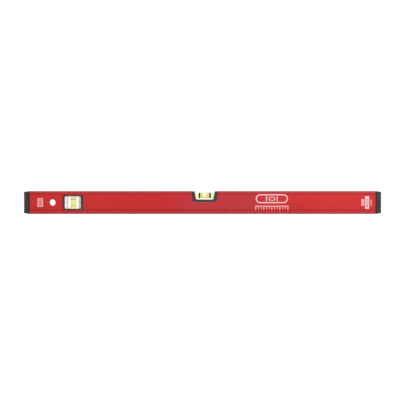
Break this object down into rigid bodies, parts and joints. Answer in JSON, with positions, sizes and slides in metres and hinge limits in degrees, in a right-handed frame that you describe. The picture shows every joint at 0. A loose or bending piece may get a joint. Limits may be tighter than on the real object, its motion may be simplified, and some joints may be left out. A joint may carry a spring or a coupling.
{
  "type": "spirit level",
  "caption": "Red box-section spirit level with a centre vial read from above and the front, a plumb vial, a hang hole and pull-off end caps.",
  "frame": {"origin": "middle of the lower measuring face, halfway between the ends of the two end caps", "axes": "+X along the beam towards the end without the plumb vial, -Y out of the front face, +Z from the lower to the upper measuring face"},
  "size_m": [0.8, 0.021, 0.051],
  "materials": {
    "red_coated_aluminium": "satin",
    "black_plastic": "satin",
    "white_plastic": "satin",
    "clear_acrylic": "gloss",
    "vial_liquid": "gloss",
    "vial_air": "gloss",
    "black_line": "matte",
    "cap_plastic": "matte",
    "cap_rubber": "matte"
  },
  "bodies": {
    "beam": {"beam": "red_coated_aluminium", "hang_hole_sleeve": "red_coated_aluminium", "plumb_bezel_front": "black_plastic", "plumb_bezel_back": "black_plastic", "plumb_lens_front": "clear_acrylic", "plumb_lens_back": "clear_acrylic", "plumb_carrier": "white_plastic", "plumb_vial_tube": "clear_acrylic", "plumb_vial_plug": "clear_acrylic", "plumb_reading_rings": "black_line", "plumb_vial_liquid": "vial_liquid", "centre_frame_front": "black_plastic", "centre_frame_back": "black_plastic", "centre_cover_lens": "clear_acrylic", "centre_carrier": "white_plastic", "centre_vial_tube": "clear_acrylic", "centre_vial_plug": "clear_acrylic", "centre_reading_rings": "black_line", "centre_contrast_bands": "black_line", "centre_vial_liquid": "vial_liquid"},
    "centre_bubble": {"centre_bubble": "vial_air"},
    "plumb_bubble": {"plumb_bubble": "vial_air"},
    "left_end_cap": {"left_cap_core": "cap_plastic", "left_cap_bumper": "cap_rubber"},
    "right_end_cap": {"right_cap_core": "cap_plastic", "right_cap_bumper": "cap_rubber"}
  },
  "joints": [
    {"name": "centre_bubble_travel", "type": "slide", "parent": "beam", "child": "centre_bubble", "axis": [1, 0, 0], "range_m": [-0.012, 0.012], "stiffness_N_per_m": 0.05, "deforming": ["centre_vial_liquid"]},
    {"name": "plumb_bubble_travel", "type": "slide", "parent": "beam", "child": "plumb_bubble", "axis": [0, 0, 1], "range_m": [-0.0246, 0], "stiffness_N_per_m": 0.2, "springref_m": 0.03, "deforming": ["plumb_vial_liquid"]},
    {"name": "left_cap_pull", "type": "slide", "parent": "beam", "child": "left_end_cap", "axis": [-1, 0, 0], "range_m": [0, 0.035]},
    {"name": "right_cap_pull", "type": "slide", "parent": "beam", "child": "right_end_cap", "axis": [1, 0, 0], "range_m": [0, 0.035]}
  ]
}
